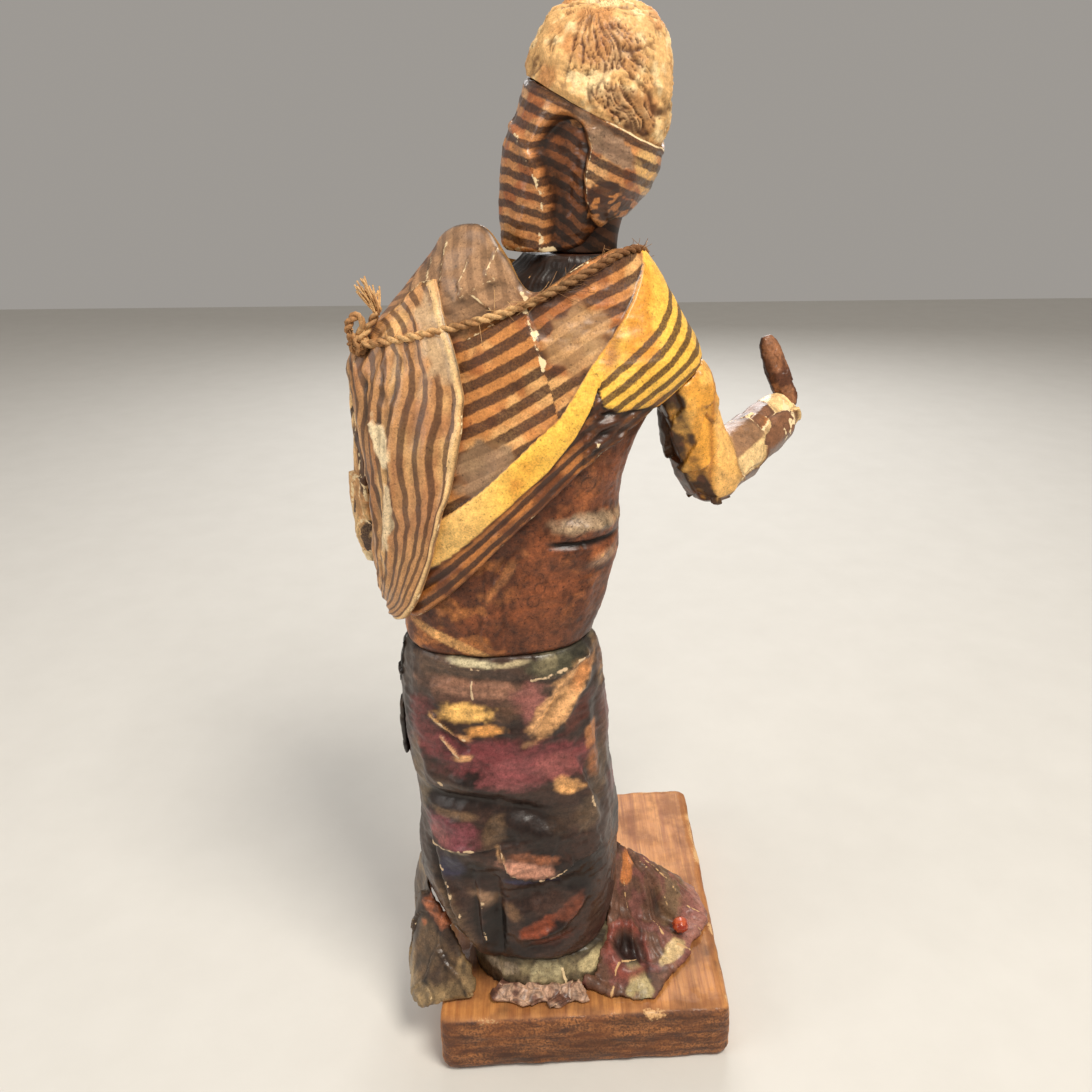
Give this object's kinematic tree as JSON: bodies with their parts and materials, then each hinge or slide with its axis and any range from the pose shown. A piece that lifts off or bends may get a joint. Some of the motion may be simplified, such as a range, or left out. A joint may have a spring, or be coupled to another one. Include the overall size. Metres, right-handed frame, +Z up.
{
  "type": "papier-mache figure",
  "caption": "Standing papier-mache figure in a long skirt, tunic, striped shawl and headscarf, tied with twine, on a rectangular wooden base.",
  "frame": {"origin": "centre of the wooden base's underside", "axes": "+Z up, +Y the way the figure faces, +X the figure's right-hand side, towards its raised hand"},
  "size_m": [0.1507, 0.124, 0.3326],
  "materials": {
    "wood_base": "bare, worn wood with rounded edges and dark, rough end grain",
    "underskirt": "stiff varnished paper, grey-olive with pale wear",
    "underskirt_frill": "crumpled varnished paper, dull pink",
    "skirt": "glossy varnished papier-mache, dark with maroon, navy and tan patches",
    "skirt_side_flap": "thin black varnished paper",
    "side_drape": "varnished paper cloth, grey-brown and olive",
    "ground_cloth": "crumpled varnished paper cloth, maroon with tan veins",
    "bead": "glossy orange-red",
    "tunic": "varnished papier-mache with the look of old leather",
    "shawl_wrap": "varnished striped paper, ochre and dark brown",
    "shawl_end": "varnished striped paper with lengthwise stripes",
    "left_sleeve": "torn tan and cream paper",
    "head": "smooth painted papier-mache",
    "hair": "rough fibrous cream paper with dark brown hollows",
    "headscarf": "varnished striped paper, orange-brown and dark grey-brown",
    "right_arm": "folded and wrapped paper, ochre, cream and brown",
    "right_hand": "dark brown painted papier-mache",
    "twine": "two-ply natural jute twine with loose fibres"
  },
  "bodies": {
    "root": {"wood_base": "wood_base", "underskirt": "underskirt", "underskirt_frill": "underskirt_frill", "skirt": "skirt", "skirt_side_flap": "skirt_side_flap", "side_drape": "side_drape", "ground_cloth": "ground_cloth", "bead": "bead", "tunic": "tunic", "shawl_wrap": "shawl_wrap", "shawl_end": "shawl_end", "left_sleeve": "left_sleeve", "head": "head", "hair": "hair", "headscarf": "headscarf", "right_arm": "right_arm", "right_hand": "right_hand", "twine": "twine"}
  },
  "joints": []
}
